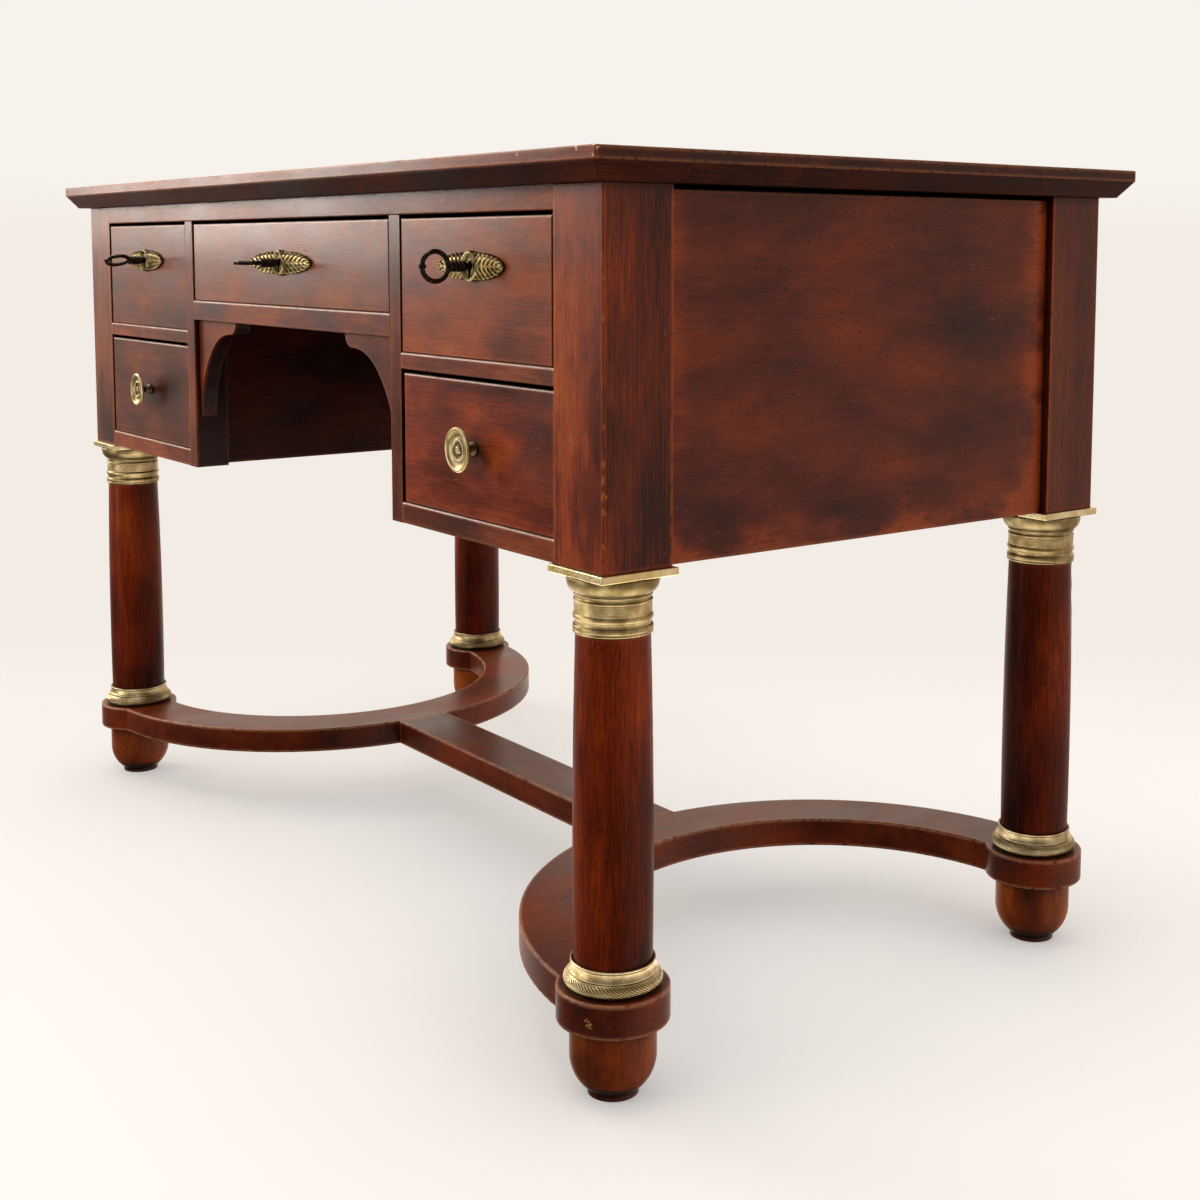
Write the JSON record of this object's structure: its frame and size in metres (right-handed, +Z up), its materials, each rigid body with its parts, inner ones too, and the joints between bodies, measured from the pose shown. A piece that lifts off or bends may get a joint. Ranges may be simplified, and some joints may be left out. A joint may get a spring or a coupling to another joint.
{
  "type": "kneehole writing desk",
  "caption": "Mahogany kneehole writing desk on brass-mounted columns joined by a curved low stretcher, with locking drawers, keys and turned brass knobs.",
  "frame": {"origin": "on the floor under the middle of the top", "axes": "+X along the desk, -Y towards the sitter, where the drawers open, +Z up"},
  "size_m": [1.2, 0.6672, 0.77],
  "materials": {
    "mahogany": "worn satin polish",
    "oak": "raw, darkened with age",
    "brass": "aged, rubbed on the high places",
    "iron": "black, worn"
  },
  "bodies": {
    "frame": {"top_board": "mahogany", "top_moulding": "mahogany", "post_front_left": "mahogany", "post_front_right": "mahogany", "post_back_left": "mahogany", "post_back_right": "mahogany", "top_rail": "mahogany", "centre_rail": "mahogany", "mid_rails": "mahogany", "bottom_rails": "mahogany", "divider_left": "mahogany", "divider_right": "mahogany", "end_panel_left": "mahogany", "end_panel_right": "mahogany", "knee_panel_left": "mahogany", "knee_panel_right": "mahogany", "back_panel": "mahogany", "knee_brackets": "mahogany", "foot_front_left": "mahogany", "foot_front_right": "mahogany", "foot_back_left": "mahogany", "foot_back_right": "mahogany", "column_front_left": "mahogany", "column_front_right": "mahogany", "column_back_left": "mahogany", "column_back_right": "mahogany", "stretcher_left": "mahogany", "stretcher_right": "mahogany", "stretcher_rail": "mahogany", "pedestal_floors": "oak", "drawer_runners": "oak", "drawer_kickers": "oak", "drawer_stops": "oak", "base_rings": "brass", "capitals": "brass", "abacus_plates": "brass"},
    "drawer_upper_left": {"drawer_front_upper_left": "mahogany", "drawer_box_upper_left": "oak", "lock_case_left": "iron", "escutcheon_left": "brass"},
    "drawer_lower_left": {"drawer_front_lower_left": "mahogany", "drawer_box_lower_left": "oak", "knob_left": "brass"},
    "drawer_centre": {"drawer_front_centre": "mahogany", "drawer_box_centre": "oak", "lock_case_centre": "iron", "escutcheon_centre": "brass"},
    "drawer_upper_right": {"drawer_front_upper_right": "mahogany", "drawer_box_upper_right": "oak", "lock_case_right": "iron", "escutcheon_right": "brass"},
    "drawer_lower_right": {"drawer_front_lower_right": "mahogany", "drawer_box_lower_right": "oak", "knob_right": "brass"},
    "key_left": {"key_left": "iron"},
    "bolt_left": {"lock_bolt_left": "iron"},
    "key_centre": {"key_centre": "iron"},
    "bolt_centre": {"lock_bolt_centre": "iron"},
    "key_right": {"key_right": "iron"},
    "bolt_right": {"lock_bolt_right": "iron"}
  },
  "joints": [
    {"name": "slide_upper_left", "type": "slide", "parent": "frame", "child": "drawer_upper_left", "axis": [0, -1, 0], "range_m": [0, 0.4]},
    {"name": "slide_lower_left", "type": "slide", "parent": "frame", "child": "drawer_lower_left", "axis": [0, -1, 0], "range_m": [0, 0.4]},
    {"name": "slide_centre", "type": "slide", "parent": "frame", "child": "drawer_centre", "axis": [0, -1, 0], "range_m": [0, 0.4]},
    {"name": "slide_upper_right", "type": "slide", "parent": "frame", "child": "drawer_upper_right", "axis": [0, -1, 0], "range_m": [0, 0.4]},
    {"name": "slide_lower_right", "type": "slide", "parent": "frame", "child": "drawer_lower_right", "axis": [0, -1, 0], "range_m": [0, 0.4]},
    {"name": "turn_key_left", "type": "hinge", "parent": "drawer_upper_left", "child": "key_left", "pos_m": [-0.382, -0.3, 0.678], "axis": [0, 1, 0], "range_deg": [0, 115]},
    {"name": "throw_bolt_left", "type": "slide", "parent": "drawer_upper_left", "child": "bolt_left", "axis": [0, 0, 1], "range_m": [0, 0.0095]},
    {"name": "turn_key_centre", "type": "hinge", "parent": "drawer_centre", "child": "key_centre", "pos_m": [0, -0.3, 0.678], "axis": [0, 1, 0], "range_deg": [0, 90]},
    {"name": "throw_bolt_centre", "type": "slide", "parent": "drawer_centre", "child": "bolt_centre", "axis": [0, 0, 1], "range_m": [0, 0.0095]},
    {"name": "turn_key_right", "type": "hinge", "parent": "drawer_upper_right", "child": "key_right", "pos_m": [0.382, -0.3, 0.678], "axis": [0, 1, 0], "range_deg": [0, 180]},
    {"name": "throw_bolt_right", "type": "slide", "parent": "drawer_upper_right", "child": "bolt_right", "axis": [0, 0, 1], "range_m": [0, 0.0095]}
  ],
  "couplings": [
    {"joint": "throw_bolt_left", "follows": "turn_key_left", "m_per_rad": 0.0039854},
    {"joint": "throw_bolt_centre", "follows": "turn_key_centre", "m_per_rad": 0.0050925},
    {"joint": "throw_bolt_right", "follows": "turn_key_right", "m_per_rad": 0.0025462}
  ]
}
